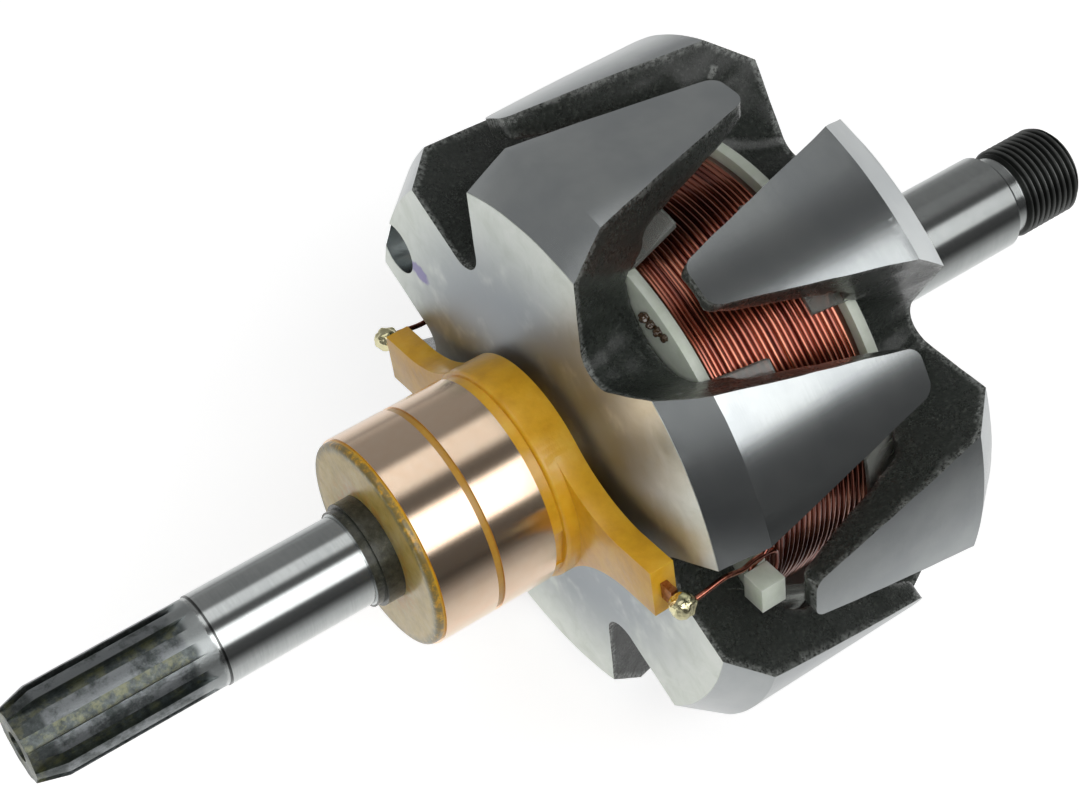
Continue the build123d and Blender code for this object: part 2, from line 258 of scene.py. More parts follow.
# Studio
def make_world():
    world = bpy.data.worlds.new("studio")
    bpy.context.scene.world = world
    world.use_nodes = True
    tree = world.node_tree
    net = Net(tree)
    background = tree.nodes["Background"]
    output = tree.nodes["World Output"]
    coord = net.node("ShaderNodeTexCoord")
    parts = net.node("ShaderNodeSeparateXYZ")
    net.links.new(coord.outputs["Generated"], parts.inputs[0])
    turn = net.math("ARCTAN2", parts.outputs[2], parts.outputs[1])
    place = net.span(turn, -math.pi, math.pi, 0.0, 1.0, smooth=False)

    def at(degrees):
        return (degrees + 180.0) / 360.0

    # brightness of the room by angle round the shaft, as the journals mirror it
    stops = [
        (-180, 0.07), (-165, 0.08), (-120, 0.6), (-40, 0.8), (-8, 0.5), (10, 0.26),
        (45, 0.24), (60, 0.20), (90, 0.15), (100, 0.10), (108, 0.10), (130, 0.30),
        (150, 0.20), (160, 0.08), (178, 0.07),
    ]
    level = net.ramp(place, *[(at(a), (v, v, v)) for a, v in stops])
    degrees = net.math("MULTIPLY", turn, 180.0 / math.pi)
    along = parts.outputs[0]

    def panel(up, down, ends, strength):
        """Long soft panel over the shaft, between two angles and two reaches along it."""
        band = net.math("MULTIPLY", net.span(degrees, *up), net.span(degrees, *down))
        reach = net.math("MULTIPLY", net.span(along, *ends[0]), net.span(along, *ends[1]))
        return net.math("MULTIPLY", net.math("MULTIPLY", band, reach), strength)

    overhead = panel((54.0, 64.0), (96.0, 84.0), ((-0.75, -0.6), (0.44, 0.34)), 0.85)
    front = panel((110.0, 118.0), (156.0, 149.0), ((-0.72, -0.55), (0.62, 0.42)), 1.8)
    total = net.math("ADD", level, net.math("ADD", overhead, front))
    net.links.new(total, background.inputs["Color"])
    white = net.node("ShaderNodeBackground")
    white.inputs["Color"].default_value = (1, 1, 1, 1)
    path = net.node("ShaderNodeLightPath")
    either = net.node("ShaderNodeMixShader")
    net.links.new(path.outputs["Is Camera Ray"], either.inputs[0])
    net.links.new(background.outputs[0], either.inputs[1])
    net.links.new(white.outputs[0], either.inputs[2])
    net.links.new(either.outputs[0], output.inputs["Surface"])


def make_floor():
    mesh = bpy.data.meshes.new("floor")
    build = bmesh.new()
    low = cad_box[0][2]
    bmesh.ops.create_circle(build, cap_ends=True, radius=3.0, segments=96)
    bmesh.ops.translate(build, verts=build.verts, vec=(0, 0, low))
    build.to_mesh(mesh)
    build.free()
    obj = bpy.data.objects.new("floor", mesh)
    bpy.context.scene.collection.objects.link(obj)
    made, net, shader = material("floor", Roughness=0.9)
    shader.inputs["Specular IOR Level"].default_value = 0.0
    y = net.place()[2]
    across = net.span(y, -600.0, 600.0, smooth=False)
    # brightness of the sweep as the polished steel mirrors it, by distance across the shaft
    stops = [(-600, 0.05), (-300, 0.10), (-190, 0.20), (-110, 0.40), (-45, 0.80),
             (0, 1.15), (80, 0.95), (260, 0.6), (600, 0.3)]
    sweep = net.ramp(across, *[((a + 600) / 1200, (v, v, v)) for a, v in stops])
    path = net.node("ShaderNodeLightPath")
    glossy = net.math("MAXIMUM", path.outputs["Is Glossy Ray"], path.outputs["Is Transmission Ray"])
    paint = net.mix(glossy, (0.62, 0.62, 0.62), net.mix(1.0, sweep, (0.70, 0.70, 0.70), "MULTIPLY"))
    net.links.new(paint, shader.inputs["Base Color"])
    strength = net.math("ADD", net.math("MULTIPLY", path.outputs["Is Camera Ray"], 0.66),
                        net.math("MULTIPLY", glossy, net.math("MULTIPLY", sweep, 0.45)))
    shader.inputs["Emission Color"].default_value = (1, 1, 1, 1)
    net.links.new(strength, shader.inputs["Emission Strength"])
    obj.data.materials.append(made)


def make_lamp(name, place, target, size, power):
    data = bpy.data.lights.new(name, "AREA")
    data.shape = "RECTANGLE"
    data.size = size[0]
    data.size_y = size[1]
    data.energy = power
    obj = bpy.data.objects.new(name, data)
    obj.location = place
    obj.rotation_euler = (Vector(target) - Vector(place)).to_track_quat("-Z", "Y").to_euler()
    bpy.context.scene.collection.objects.link(obj)


make_world()
make_floor()
make_lamp("key", (-0.25, -0.75, 0.95), (-0.04, 0, 0), (0.9, 0.45), 1.6)


# Materials
def shaft_steel():
    made, net, shader = material("shaft_steel", Metallic=1.0)
    turned_lines(net, shader, 0.7)
    where, x, y, z = net.place()
    r = radial(net, y, z)
    lines = net.noise(net.stretch(where, 1.0, 0.02, 0.02), 9.0, 6.0, 0.7)
    blotch = net.noise(where, 0.35, 5.0, 0.6)
    bright = net.mix(blotch, (0.50, 0.53, 0.53), (0.66, 0.68, 0.67))
    bright = net.mix(net.math("MULTIPLY", net.span(lines, 0.35, 0.75), 0.35), bright, (0.34, 0.36, 0.36))
    dull = net.math("MULTIPLY", net.span(x, DRIVE_SEAT_X, DRIVE_SEAT_X + 2.0), 0.30)
    bright = net.mix(dull, bright, (0.30, 0.32, 0.31))
    # oxidised spline end
    wobble = net.math("ADD", x, net.math("MULTIPLY", net.noise(where, 0.5, 3.0), 1.2))
    spline = net.span(wobble, SPLINE_START - 0.3, SPLINE_START + 0.3, 1.0, 0.0)
    olive = net.ramp(net.noise(where, 0.8, 5.0, 0.7),
                     (0.25, (0.05, 0.058, 0.055)), (0.55, (0.12, 0.135, 0.135)), (0.8, (0.24, 0.265, 0.26)))
    dirt = net.span(net.noise(where, 0.5, 5.0, 0.7), 0.42, 0.62)
    root = net.math("MULTIPLY", net.span(r, SPLINE_ROOT_R, SPLINE_ROOT_R - 0.4), dirt)
    olive = net.mix(net.math("MULTIPLY", root, 0.5), olive, (0.30, 0.30, 0.17))
    wear = net.span(net.noise(where, 0.22, 5.0, 0.7), 0.36, 0.56)
    crest = net.math("MULTIPLY", net.span(r, SPLINE_CREST_R, SPLINE_CREST_R + 0.3), wear)
    near_end = net.span(wobble, SPLINE_START - 4.4, SPLINE_START - 3.0)
    run_out = net.math("MULTIPLY", near_end, net.span(r, 6.4, SPLINE_CREST_R))
    olive = net.mix(crest, olive, (0.30, 0.32, 0.33))
    olive = net.mix(run_out, olive, (0.42, 0.445, 0.445))
    colour = net.mix(spline, bright, olive)
    groove = net.math("COMPARE", x, SPLINE_START + 0.15, 0.16)
    colour = net.mix(net.math("MULTIPLY", groove, 0.85), colour, (0.03, 0.032, 0.03))
    # black thread
    thread = net.math("MULTIPLY", net.span(x, THREAD_X - 0.4, THREAD_X - 0.1), net.span(r, 8.3, 8.2))
    black = net.mix(net.span(r, 7.55, 7.9), (0.03, 0.032, 0.03), (0.16, 0.165, 0.16))
    colour = net.mix(thread, colour, black)
    dark = net.math("MAXIMUM", spline, thread)
    net.links.new(colour, shader.inputs["Base Color"])
    rough = net.blend(dark, net.math("ADD", 0.15, net.math("MULTIPLY", lines, 0.10)),
                      net.math("ADD", 0.32, net.math("MULTIPLY", blotch, 0.2)))
    net.links.new(rough, shader.inputs["Roughness"])
    fine = net.bump(lines, 0.012, 0.6)
    pits = net.bump(net.math("MULTIPLY", net.noise(where, 3.0, 6.0, 0.7), dark), 0.10, 0.8, fine)
    net.links.new(pits, shader.inputs["Normal"])
    return made


def claw_steel(name, direction, face_x):
    """Turned pole faces and chamfers, a machined end face, and varnished forged flanks."""
    made, net, shader = material(name)
    turned_lines(net, shader, 0.6)
    where, x, y, z = net.place()
    r = radial(net, y, z)
    depth = net.math("MULTIPLY", net.math("SUBTRACT", x, face_x), float(direction))
    on_face = net.span(depth, 0.12, 0.04)
    attribute = net.node("ShaderNodeAttribute", attribute_name="turned")
    turned = attribute.outputs["Fac"]
    net.links.new(net.blend(turned, 0.35, 1.0), shader.inputs["Metallic"])
    net.links.new(net.blend(turned, 0.55, 0.0), shader.inputs["Coat Weight"])
    shader.inputs["Coat Roughness"].default_value = 0.22
    # turned steel
    angle = net.math("ARCTAN2", z, y)
    rings = net.noise(net.combine(x, net.math("MULTIPLY", angle, 0.5), r), 7.0, 3.0, 0.7)
    haze = net.noise(where, 0.09, 4.0, 0.6)
    steel = net.mix(net.span(haze, 0.3, 0.7), (0.52, 0.55, 0.56), (0.60, 0.63, 0.63))
    steel = net.mix(net.math("MULTIPLY", net.span(rings, 0.5, 0.85), 0.12), steel, (0.30, 0.33, 0.33))
    stain = net.noise(where, 0.20, 5.0, 0.62, 0.6)
    face = net.ramp(stain, (0.28, (0.60, 0.64, 0.58)), (0.5, (0.70, 0.74, 0.69)),
                    (0.72, (0.78, 0.81, 0.77)))
    # painted shade: the end face turns dark grey towards the hub, next to the moulding, in noisy patches
    painted_hub_shade = net.math("MULTIPLY", net.span(r, 46.0, 26.0), net.span(net.noise(where, 0.16, 3.0), 0.05, 0.5))
    face = net.mix(net.math("MULTIPLY", painted_hub_shade, 0.85), face, (0.25, 0.28, 0.32))
    if direction > 0:
        # a dab of violet marking paint beside the balance hole
        spot_y, spot_z = 36.3 * math.cos(math.radians(15.0)), 36.3 * math.sin(math.radians(15.0))
        dy, dz = net.math("SUBTRACT", y, spot_y), net.math("SUBTRACT", z, spot_z)
        off = net.math("SQRT", net.math("ADD", net.math("MULTIPLY", dy, net.math("MULTIPLY", dy, 0.35)),
                                        net.math("MULTIPLY", dz, dz)))
        off = net.math("ADD", off, net.math("MULTIPLY", net.noise(where, 0.9, 3.0), 1.4))
        dab = net.math("MULTIPLY", net.span(off, 2.6, 1.9), 0.75)
        face = net.mix(dab, face, (0.20, 0.16, 0.40))
    smooth = net.mix(on_face, steel, face)
    # forged flanks, varnished black
    grain = net.noise(where, 1.6, 5.0, 0.75)
    varnish = net.noise(where, 0.25, 3.0, 0.6)
    forged = net.ramp(grain, (0.3, (0.012, 0.015, 0.012)), (0.55, (0.034, 0.042, 0.035)),
                      (0.82, (0.17, 0.185, 0.16)))
    edge = net.node("ShaderNodeNewGeometry").outputs["Pointiness"]
    # painted highlight: lighter grey flecks where the forged skin has sharp edges
    painted_edge_highlight = net.math("MULTIPLY", net.span(edge, 0.515, 0.56), net.span(grain, 0.35, 0.6))
    forged = net.mix(painted_edge_highlight, forged, (0.36, 0.38, 0.36))
    colour = net.mix(turned, forged, smooth)
    net.links.new(colour, shader.inputs["Base Color"])
    rough_smooth = net.blend(on_face, net.math("ADD", 0.15, net.math("MULTIPLY", rings, 0.10)),
                             net.math("ADD", 0.32, net.math("MULTIPLY", stain, 0.16)))
    rough_forged = net.math("ADD", net.math("MULTIPLY", varnish, 0.30), net.math("MULTIPLY", grain, 0.28))
    rough = net.blend(turned, rough_forged, rough_smooth)
    net.links.new(rough, shader.inputs["Roughness"])
    lines = net.bump(rings, 0.010, 0.5)
    lumps = net.math("MULTIPLY", grain, net.math("SUBTRACT", 1.0, turned))
    net.links.new(net.bump(lumps, 0.7, 0.9, lines), shader.inputs["Normal"])
    return made


def copper_band():
    made, net, shader = material("copper_band", Metallic=1.0)
    turned_lines(net, shader, 0.7)
    where, x, y, z = net.place()
    r = radial(net, y, z)
    angle = net.math("ARCTAN2", z, y)
    lines = net.noise(net.combine(x, net.math("MULTIPLY", angle, 0.8), r), 10.0, 6.0, 0.75)
    cloud = net.noise(where, 0.4, 4.0, 0.6)
    colour = net.mix(cloud, (0.95, 0.69, 0.49), (0.99, 0.80, 0.62))
    colour = net.mix(net.math("MULTIPLY", net.span(lines, 0.55, 0.85), 0.3), colour, (0.55, 0.33, 0.2))
    net.links.new(colour, shader.inputs["Base Color"])
    net.links.new(net.math("ADD", 0.12, net.math("MULTIPLY", lines, 0.10)), shader.inputs["Roughness"])
    net.links.new(net.bump(lines, 0.012, 0.6), shader.inputs["Normal"])
    return made


def ochre_resin():
    made, net, shader = material("ochre_resin", Subsurface_Weight=0.25, Subsurface_Scale=0.002,
                                 Coat_Weight=0.35, Coat_Roughness=0.12)
    where, x, y, z = net.place()
    r = radial(net, y, z)
    cloud = net.noise(where, 0.25, 5.0, 0.6)
    colour = net.ramp(cloud, (0.3, (0.66, 0.33, 0.008)), (0.55, (0.78, 0.42, 0.016)),
                      (0.75, (0.82, 0.49, 0.04)))
    front = net.span(x, MOULDING_X, MOULDING_X - 0.25)
    khaki = net.ramp(net.noise(where, 0.35, 6.0, 0.65),
                     (0.3, (0.50, 0.34, 0.06)), (0.55, (0.66, 0.48, 0.13)), (0.75, (0.70, 0.55, 0.22)))
    orange = net.math("MULTIPLY", net.span(r, 13.0, 9.5), net.span(net.noise(where, 0.5, 4.0), 0.4, 0.6))
    khaki = net.mix(net.math("MULTIPLY", orange, 0.7), khaki, (0.66, 0.33, 0.04))
    colour = net.mix(front, colour, khaki)
    rim = net.math("MULTIPLY", net.span(x, MOULDING_X + 1.0, MOULDING_X + 0.6), net.span(r, 15.4, 17.0))
    grime = net.math("MULTIPLY", rim, net.span(net.noise(where, 0.8, 6.0, 0.7), 0.30, 0.55))
    colour = net.mix(net.math("MULTIPLY", grime, 0.85), colour, (0.13, 0.12, 0.05))
    between = net.math("MULTIPLY", net.span(x, -80.9, -80.8), net.span(x, -79.3, -79.4))
    seat = net.math("MULTIPLY", net.span(r, 17.45, 17.3), between)
    colour = net.mix(net.math("MULTIPLY", seat, 0.8), colour, (0.40, 0.20, 0.04))
    net.links.new(colour, shader.inputs["Base Color"])
    shader.inputs["Subsurface Radius"].default_value = (1.0, 0.5, 0.15)
    net.links.new(net.math("ADD", 0.22, net.math("MULTIPLY", cloud, 0.2)), shader.inputs["Roughness"])
    net.links.new(net.bump(net.noise(where, 0.7, 4.0, 0.5), 0.15, 0.5), shader.inputs["Normal"])
    return made


def black_bush():
    made, net, shader = material("black_bush", Metallic=0.6, Coat_Weight=0.5, Coat_Roughness=0.15)
    where = net.place()[0]
    grime = net.noise(where, 0.9, 7.0, 0.7)
    colour = net.ramp(grime, (0.3, (0.02, 0.021, 0.016)), (0.6, (0.07, 0.073, 0.055)),
                      (0.85, (0.26, 0.25, 0.18)))
    net.links.new(colour, shader.inputs["Base Color"])
    net.links.new(net.math("ADD", 0.2, net.math("MULTIPLY", grime, 0.35)), shader.inputs["Roughness"])
    net.links.new(net.bump(grime, 0.25, 0.8), shader.inputs["Normal"])
    return made


def nylon():
    made, net, shader = material("nylon", Subsurface_Weight=0.45, Subsurface_Scale=0.002,
                                 Roughness=0.3, Coat_Weight=0.3, Coat_Roughness=0.1)
    where = net.place()[0]
    cloud = net.noise(where, 0.4, 5.0, 0.6)
    colour = net.mix(cloud, (0.52, 0.58, 0.47), (0.78, 0.83, 0.74))
    net.links.new(colour, shader.inputs["Base Color"])
    shader.inputs["Subsurface Radius"].default_value = (0.9, 1.0, 0.8)
    net.links.new(net.bump(net.noise(where, 0.9, 3.0), 0.12, 0.5), shader.inputs["Normal"])
    return made


def clear_nylon():
    made, net, shader = material("clear_nylon", Transmission_Weight=0.85, IOR=1.35, Coat_Weight=0.2)
    where = net.place()[0]
    cloud = net.noise(where, 0.5, 3.0, 0.6)
    net.links.new(net.mix(cloud, (0.70, 0.74, 0.68), (0.88, 0.90, 0.86)), shader.inputs["Base Color"])
    net.links.new(net.math("ADD", 0.08, net.math("MULTIPLY", cloud, 0.12)), shader.inputs["Roughness"])
    return made


def enamel_wire(name="enamel_wire"):
    made, net, shader = material(name, Metallic=1.0, Coat_Weight=1.0, Coat_Roughness=0.08, Roughness=0.26)
    _, x, y, z = net.place()
    angle = net.math("ARCTAN2", z, y)
    tone = net.noise(net.combine(x, net.math("MULTIPLY", angle, 1.5), 0.0), 0.9, 2.0, 0.6)
    colour = net.ramp(tone, (0.3, (0.17, 0.030, 0.016)), (0.5, (0.34, 0.085, 0.045)),
                      (0.72, (0.60, 0.24, 0.14)))
    net.links.new(colour, shader.inputs["Base Color"])
    return made


def solder_metal():
    made, net, shader = material("solder_metal", Metallic=1.0)
    where = net.place()[0]
    tone = net.noise(where, 0.8, 4.0, 0.6)
    colour = net.mix(tone, (0.70, 0.64, 0.34), (0.88, 0.84, 0.58))
    net.links.new(colour, shader.inputs["Base Color"])
    net.links.new(net.math("ADD", 0.1, net.math("MULTIPLY", tone, 0.15)), shader.inputs["Roughness"])
    net.links.new(net.bump(net.noise(where, 1.0, 3.0), 0.3, 0.5), shader.inputs["Normal"])
    return made


def tab_copper():
    made, net, shader = material("tab_copper", Metallic=1.0)
    where = net.place()[0]
    tone = net.noise(where, 1.2, 6.0, 0.7)
    colour = net.ramp(tone, (0.3, (0.20, 0.08, 0.04)), (0.6, (0.48, 0.24, 0.13)), (0.8, (0.78, 0.58, 0.40)))
    net.links.new(colour, shader.inputs["Base Color"])
    net.links.new(net.math("ADD", 0.25, net.math("MULTIPLY", tone, 0.25)), shader.inputs["Roughness"])
    net.links.new(net.bump(tone, 0.1, 0.5), shader.inputs["Normal"])
    return made


def varnish_drop():
    made, net, shader = material("varnish", Roughness=0.08, Coat_Weight=0.6)
    where = net.place()[0]
    colour = net.mix(net.noise(where, 0.9, 3.0), (0.012, 0.010, 0.006), (0.10, 0.05, 0.02))
    net.links.new(colour, shader.inputs["Base Color"])
    return made


def core_steel():
    made, net, shader = material("core_steel", Metallic=1.0, Roughness=0.45)
    where = net.place()[0]
    colour = net.mix(net.noise(where, 0.5, 6.0), (0.05, 0.055, 0.05), (0.18, 0.19, 0.18))
    net.links.new(colour, shader.inputs["Base Color"])
    return made


# Claws, refined and roughened
def refine(obj, name, longest, is_turned, rounds):
    """Copy of a CAD mesh with short edges only, its forged edges rounded off."""
    build = bmesh.new()
    build.from_mesh(obj.data)
    bmesh.ops.remove_doubles(build, verts=build.verts, dist=1e-6)
    bmesh.ops.triangulate(build, faces=build.faces)
    for _ in range(6):
        long_edges = [e for e in build.edges if e.calc_length() > longest]
        if len(long_edges) < 100:
            break
        bmesh.ops.subdivide_edges(build, edges=long_edges, cuts=1)
        bmesh.ops.triangulate(build, faces=[f for f in build.faces if len(f.verts) > 3])
    loose = [v for v in build.verts if not is_turned(v.co)]
    for _ in range(rounds):
        bmesh.ops.smooth_vert(build, verts=loose, factor=0.5,
                              use_axis_x=True, use_axis_y=True, use_axis_z=True)
    mesh = bpy.data.meshes.new(name)
    build.to_mesh(mesh)
    build.free()
    return mesh


def roughen_claw(node_name, direction, face_x, amount=0.30):
    """Show a claw pole with a lumpy forged skin, its turned faces kept true and flagged."""
    def is_turned(point):
        radius = math.hypot(point[1], point[2]) / MM
        inward = (point[0] / MM - face_x) * direction
        if radius < HUB_R or radius > POLE_R - SURFACE_BAND or inward < 0.02:
            return True
        if abs(radius - VALLEY_R) < 0.4 and inward > PLATE_X:
            return True
        return (radius - (POLE_R - CHAMFER_R)) * b - inward * a > -SURFACE_BAND

    length = math.hypot(CHAMFER_X, CHAMFER_R)
    a, b = CHAMFER_R / length, CHAMFER_X / length
    mesh = refine(nodes[node_name], node_name + "_forged", LONGEST_EDGE * MM, is_turned, 7)
    count = len(mesh.vertices)
    co = np.empty(count * 3)
    mesh.vertices.foreach_get("co", co)
    co = co.reshape(-1, 3) / MM
    r = np.hypot(co[:, 1], co[:, 2])
    depth = (co[:, 0] - face_x) * direction
    cone = (r - (POLE_R - CHAMFER_R)) * b - depth * a
    on_pole = r > POLE_R - SURFACE_BAND
    on_cone = cone > -SURFACE_BAND
    on_face = depth < 0.02
    made = np.zeros((count, 3))
    for i in range(count):
        p = Vector(co[i])
        if r[i] < 26.0 and not on_face[i]:
            continue
        made[i] = noise.noise_vector(p / 5.0) * 0.5
        if not (on_pole[i] or on_cone[i] or on_face[i]):
            made[i] += np.array(noise.noise_vector(p / 1.9)) * 0.28
    inner = np.clip((r - 18.0) / 8.0, 0, 1)
    co2 = co + made * amount * inner[:, None]
    # turned surfaces stay true
    r2 = np.hypot(co2[:, 1], co2[:, 2])
    depth2 = (co2[:, 0] - face_x) * direction
    over = r2 > POLE_R
    pole_fix = on_pole | over
    scale = np.where(pole_fix, POLE_R / np.maximum(r2, 1e-9), 1.0)
    co2[:, 1] *= scale
    co2[:, 2] *= scale
    r2 = np.hypot(co2[:, 1], co2[:, 2])
    cone2 = (r2 - (POLE_R - CHAMFER_R)) * b - depth2 * a
    fix = on_cone | (cone2 > 0)
    shift = np.where(fix, cone2, 0.0)
    depth2 = depth2 + shift * a
    new_r = r2 - shift * b
    depth2 = np.where(on_face | (depth2 < 0), 0.0, depth2)
    co2[:, 0] = face_x + depth2 * direction
    ratio = new_r / np.maximum(r2, 1e-9)
    co2[:, 1] *= ratio
    co2[:, 2] *= ratio
    mesh.vertices.foreach_set("co", (co2 * MM).astype(np.float32).ravel())
    attribute = mesh.attributes.new("turned", "FLOAT", "FACE")
    flags = []
    for polygon in mesh.polygons:
        ids = list(polygon.vertices)
        same_pole = on_pole[ids].all()
        same_cone = on_cone[ids].all()
        same_face = on_face[ids].all()
        flags.append(1.0 if (same_pole or same_cone or same_face) else 0.0)
    if direction > 0:
        # the inside of the balance hole is drilled
        hole_y = HOLE_REACH * math.cos(math.radians(HOLE_ANGLE))
        hole_z = HOLE_REACH * math.sin(math.radians(HOLE_ANGLE))
        for polygon in mesh.polygons:
            middle = polygon.center / MM
            away = math.hypot(middle.y - hole_y, middle.z - hole_z)
            if away < HOLE_EDGE and middle.x < face_x + HOLE_DEPTH:
                flags[polygon.index] = 1.0
    attribute.data.foreach_set("value", flags)
    mesh.update()
    obj = bpy.data.objects.new(node_name + "_forged", mesh)
    bpy.context.scene.collection.objects.link(obj)
    for polygon in mesh.polygons:
        polygon.use_smooth = True
    mesh.update()
    sharp = mesh.attributes.get("sharp_edge") or mesh.attributes.new("sharp_edge", "BOOLEAN", "EDGE")
    build = bmesh.new()
    build.from_mesh(mesh)
    build.edges.ensure_lookup_table()
    values = []
    for edge in build.edges:
        sides = [flags[face.index] for face in edge.link_faces]
        crisp = len(sides) == 2 and sides[0] != sides[1]
        steep = len(sides) == 2 and edge.calc_face_angle(0.0) > math.radians(32)
        values.append(bool(crisp or steep))
    build.free()
    sharp.data.foreach_set("value", values)
    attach(obj, "root")
    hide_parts(node_name)
    dress(obj, claw_steel(node_name + "_steel", direction, face_x))
    return obj


roughen_claw("front_claw_pole", 1, FRONT_X)
roughen_claw("rear_claw_pole", -1, REAR_X)


# Pieces
def new_piece(name, mesh, slot_name, *replaced):
    obj = bpy.data.objects.new(name, mesh)
    bpy.context.scene.collection.objects.link(obj)
    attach(obj, "root")
    if replaced:
        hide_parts(*replaced)
    return obj


def mesh_of(name, verts, faces, smooth=True):
    mesh = bpy.data.meshes.new(name)
    mesh.from_pydata([tuple(v) for v in verts], [], faces)
    if smooth:
        mesh.polygons.foreach_set("use_smooth", [True] * len(mesh.polygons))
    mesh.update()
    return mesh


def soft_copy(node_name, width, segments=2, limit=38.0):
    """Copy of a CAD node with its edges rounded by a small bevel."""
    build = bmesh.new()
    build.from_mesh(nodes[node_name].data)
    bmesh.ops.remove_doubles(build, verts=build.verts, dist=2e-6)
    bmesh.ops.dissolve_limit(build, angle_limit=math.radians(0.6), verts=build.verts, edges=build.edges)
    steep = [e for e in build.edges
             if len(e.link_faces) == 2 and e.calc_face_angle(0.0) > math.radians(limit)]
    bmesh.ops.bevel(build, geom=steep, offset=width * MM, offset_type="OFFSET", segments=segments,
                    profile=0.5, affect="EDGES", clamp_overlap=True)
    for face in build.faces:
        face.smooth = True
    for edge in build.edges:
        if len(edge.link_faces) == 2 and edge.calc_face_angle(0.0) > math.radians(35):
            edge.smooth = False
    mesh = bpy.data.meshes.new(node_name + "_soft")
    build.to_mesh(mesh)
    build.free()
    return mesh


def coil(points, outward, radius, sides):
    """Tube round the shaft: points and their outward directions, in millimetres."""
    count = len(points)
    turn = np.linspace(0, 2 * math.pi, sides, endpoint=False)
    axis = np.array([1.0, 0.0, 0.0])
    ring = (np.cos(turn)[None, :, None] * outward[:, None, :]
            + np.sin(turn)[None, :, None] * axis[None, None, :])
    verts = (points[:, None, :] + radius * ring).reshape(-1, 3) * MM
    faces = []
    for i in range(count - 1):
        for j in range(sides):
            k = (j + 1) % sides
            faces.append((i * sides + j, i * sides + k, (i + 1) * sides + k, (i + 1) * sides + j))
    return verts, faces


def field_winding():
    """The top layer as one wound wire, loose turns at the front flange, and the core below."""
    rng = random.Random(11)
    x_low, x_high = COIL_X
    wire = 0.51
    turns = 24
    steps = 128
    verts, faces = [], []

    def add(points, outward, radius, sides):
        base = sum(len(v) for v in verts)
        v, f = coil(points, outward, radius, sides)
        verts.append(v)
        faces.extend(tuple(i + base for i in face) for face in f)

    spread = (x_high - x_low - 2 * wire) / turns
    theta = np.linspace(0, 2 * math.pi * turns, turns * steps + 1)
    which = theta / (2 * math.pi)
    shift = np.array([rng.uniform(-0.05, 0.05) for _ in range(turns + 2)])
    wander = np.interp(which, np.arange(turns + 2), shift)
    x = x_low + wire + which * spread + wander
    radius = 36.26 + 0.05 * np.sin(theta * 0.37 + 1.0) + 0.04 * np.sin(theta * 0.113)
    outward = np.stack([np.zeros_like(theta), np.cos(theta), np.sin(theta)], 1)
    points = outward * radius[:, None]
    points[:, 0] = x
    add(points, outward, wire, 8)
    for number in range(9):
        phase = rng.uniform(0, 6.28)
        theta = np.linspace(0, 2 * math.pi, 129)
        x = -45.7 + number * 0.42 + 0.55 * np.sin(theta + phase) + 0.15 * np.sin(3 * theta + phase)
        x = np.maximum(x, -45.9)
        radius = 36.95 + 0.28 * (number % 3) + 0.12 * np.sin(2 * theta + phase)
        outward = np.stack([np.zeros_like(theta), np.cos(theta), np.sin(theta)], 1)
        points = outward * radius[:, None]
        points[:, 0] = x
        add(points, outward, 0.42, 7)
    base = sum(len(v) for v in verts)
    core = []
    for x, r in ((x_low, 29.2), (x_low, 36.1), (x_high, 36.1), (x_high, 29.2)):
        for i in range(96):
            t = 2 * math.pi * i / 96
            core.append((x * MM, r * math.cos(t) * MM, r * math.sin(t) * MM))
    for row in range(3):
        for i in range(96):
            k = (i + 1) % 96
            faces.append((base + row * 96 + i, base + row * 96 + k,
                          base + (row + 1) * 96 + k, base + (row + 1) * 96 + i))
    verts.append(np.array(core))
    mesh = mesh_of("field_winding_wound", np.concatenate(verts), faces)
    obj = new_piece("field_winding_wound", mesh, "enamelled_copper", "field_winding")
    dress(obj, enamel_wire())


def threaded_shaft():
    """The shaft with a real thread on its end."""
    start, end, crest, root, pitch = THREAD_X, THREAD_END, 8.0, 7.12, 1.25
    build = bmesh.new()
    build.from_mesh(nodes["shaft"].data)
    bmesh.ops.remove_doubles(build, verts=build.verts, dist=2e-6)
    gone = []
    for face in build.faces:
        middle = face.calc_center_median() / MM
        span = [v.co.x / MM for v in face.verts]
        reach = [math.hypot(v.co.y, v.co.z) / MM for v in face.verts]
        outer = min(reach) > 6.7 and min(span) > start - 0.01 and middle.x > start - 0.01
        if outer and not (min(span) > end - 0.01):
            gone.append(face)
    bmesh.ops.delete(build, geom=gone, context="FACES")
    rows = int(round((end - start) / 0.125)) + 1
    segments = 96
    grid = []
    for i in range(rows):
        x = start + (end - start) * i / (rows - 1)
        line = []
        for j in range(segments):
            t = 2 * math.pi * j / segments
            phase = ((x - start) / pitch - j / segments) % 1.0
            wave = abs(phase - 0.5) * 2
            height = min(1.0, max(0.0, (wave - 0.08) / 0.80))
            r = root + (crest - root) * height
            r = min(r, 7.1 + (x - start) * 1.2, crest - max(0.0, x - 47.0))
            line.append(build.verts.new((x * MM, r * math.cos(t) * MM, r * math.sin(t) * MM)))
        grid.append(line)
    for i in range(rows - 1):
        for j in range(segments):
            k = (j + 1) % segments
            build.faces.new((grid[i][j], grid[i][k], grid[i + 1][k], grid[i + 1][j]))
    bmesh.ops.recalc_face_normals(build, faces=build.faces)
    for face in build.faces:
        face.smooth = True
    for edge in build.edges:
        if len(edge.link_faces) == 2 and edge.calc_face_angle(0.0) > math.radians(30):
            edge.smooth = False
    mesh = bpy.data.meshes.new("shaft_threaded")
    build.to_mesh(mesh)
    build.free()
    obj = new_piece("shaft_threaded", mesh, "ground_steel", "shaft")
    dress(obj, shaft_steel())


